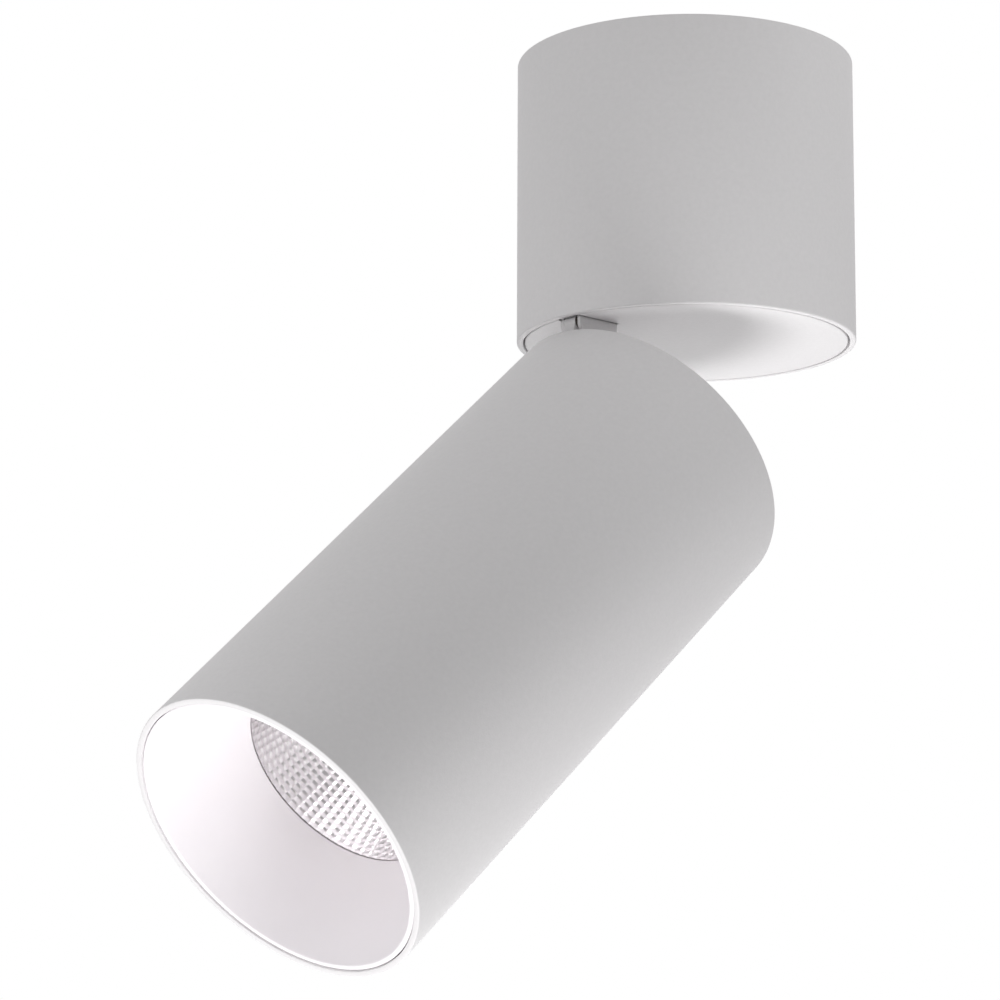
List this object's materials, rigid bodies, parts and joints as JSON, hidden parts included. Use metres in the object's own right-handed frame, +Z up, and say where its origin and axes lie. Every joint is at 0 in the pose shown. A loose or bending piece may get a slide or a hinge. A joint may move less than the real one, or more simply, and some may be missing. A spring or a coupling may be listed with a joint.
{
  "type": "surface mounted ceiling spotlight",
  "caption": "Surface mounted ceiling spotlight: a round canopy over a tubular head that swivels with a disc and tilts on a small edge hinge, with a deep white baffle and a faceted reflector.",
  "frame": {"origin": "middle of the ceiling face, between the two ceiling screws", "axes": "+Z up into the ceiling; the head aims down and towards -Y; the tilt pin lies along X"},
  "size_m": [0.082, 0.1905, 0.2271],
  "materials": {
    "white_powder_coat": "matt white powder coat with a fine grain",
    "baffle_white": "matt white moulded cone",
    "bright_metallised": "vacuum metallised, bright",
    "galvanised_steel": "galvanised sheet",
    "zinc_fasteners": "bright zinc plated",
    "tinned_copper": "nickel plated brass",
    "cast_aluminium": "as cast, natural",
    "black_rubber": "matt black rubber",
    "white_plastic": "moulded white plastic",
    "natural_nylon": "moulded nylon, natural",
    "dark_fibre": "pressed fibre, dark",
    "thermal_grey": "soft thermal pad",
    "white_ceramic": "glazed white ceramic board",
    "phosphor_yellow": "phosphor under clear gel"
  },
  "bodies": {
    "ceiling_base": {"mounting_plate": "galvanised_steel", "cable_grommet": "black_rubber", "driver_hanger": "galvanised_steel", "led_driver": "white_plastic", "driver_screws": "zinc_fasteners", "terminal_block": "white_plastic", "terminal_screws": "tinned_copper", "plate_screws": "zinc_fasteners", "earth_tag": "tinned_copper", "earth_screw": "tinned_copper", "canopy_shell": "white_powder_coat", "support_plate": "galvanised_steel", "support_screws": "zinc_fasteners", "stop_pin": "zinc_fasteners", "swivel_bushing": "natural_nylon"},
    "turntable": {"swivel_disc": "white_powder_coat", "swivel_stem": "cast_aluminium", "friction_washer": "dark_fibre", "wave_washer": "zinc_fasteners", "stop_washer": "zinc_fasteners", "stem_nut": "zinc_fasteners", "hinge_bracket": "white_powder_coat", "bracket_screws": "zinc_fasteners", "hinge_pin": "white_powder_coat", "hinge_shims": "dark_fibre"},
    "head": {"hinge_arm": "white_powder_coat", "foot_screws": "zinc_fasteners", "head_tube": "white_powder_coat", "rear_cap": "white_powder_coat", "lead_bushing": "black_rubber", "tie_screws": "zinc_fasteners", "heat_sink": "cast_aluminium", "thermal_pad": "thermal_grey", "led_board": "white_ceramic", "led_emitter": "phosphor_yellow", "led_holder": "white_plastic", "holder_screws": "zinc_fasteners", "reflector": "bright_metallised", "baffle": "baffle_white"}
  },
  "joints": [
    {"name": "swivel", "type": "hinge", "parent": "ceiling_base", "child": "turntable", "pos_m": [0, 0, -0.0702], "axis": [0, 0, 1], "range_deg": [-175, 175]},
    {"name": "tilt", "type": "hinge", "parent": "turntable", "child": "head", "pos_m": [0, -0.0365, -0.071], "axis": [-1, 0, 0], "range_deg": [-48, 42]}
  ]
}
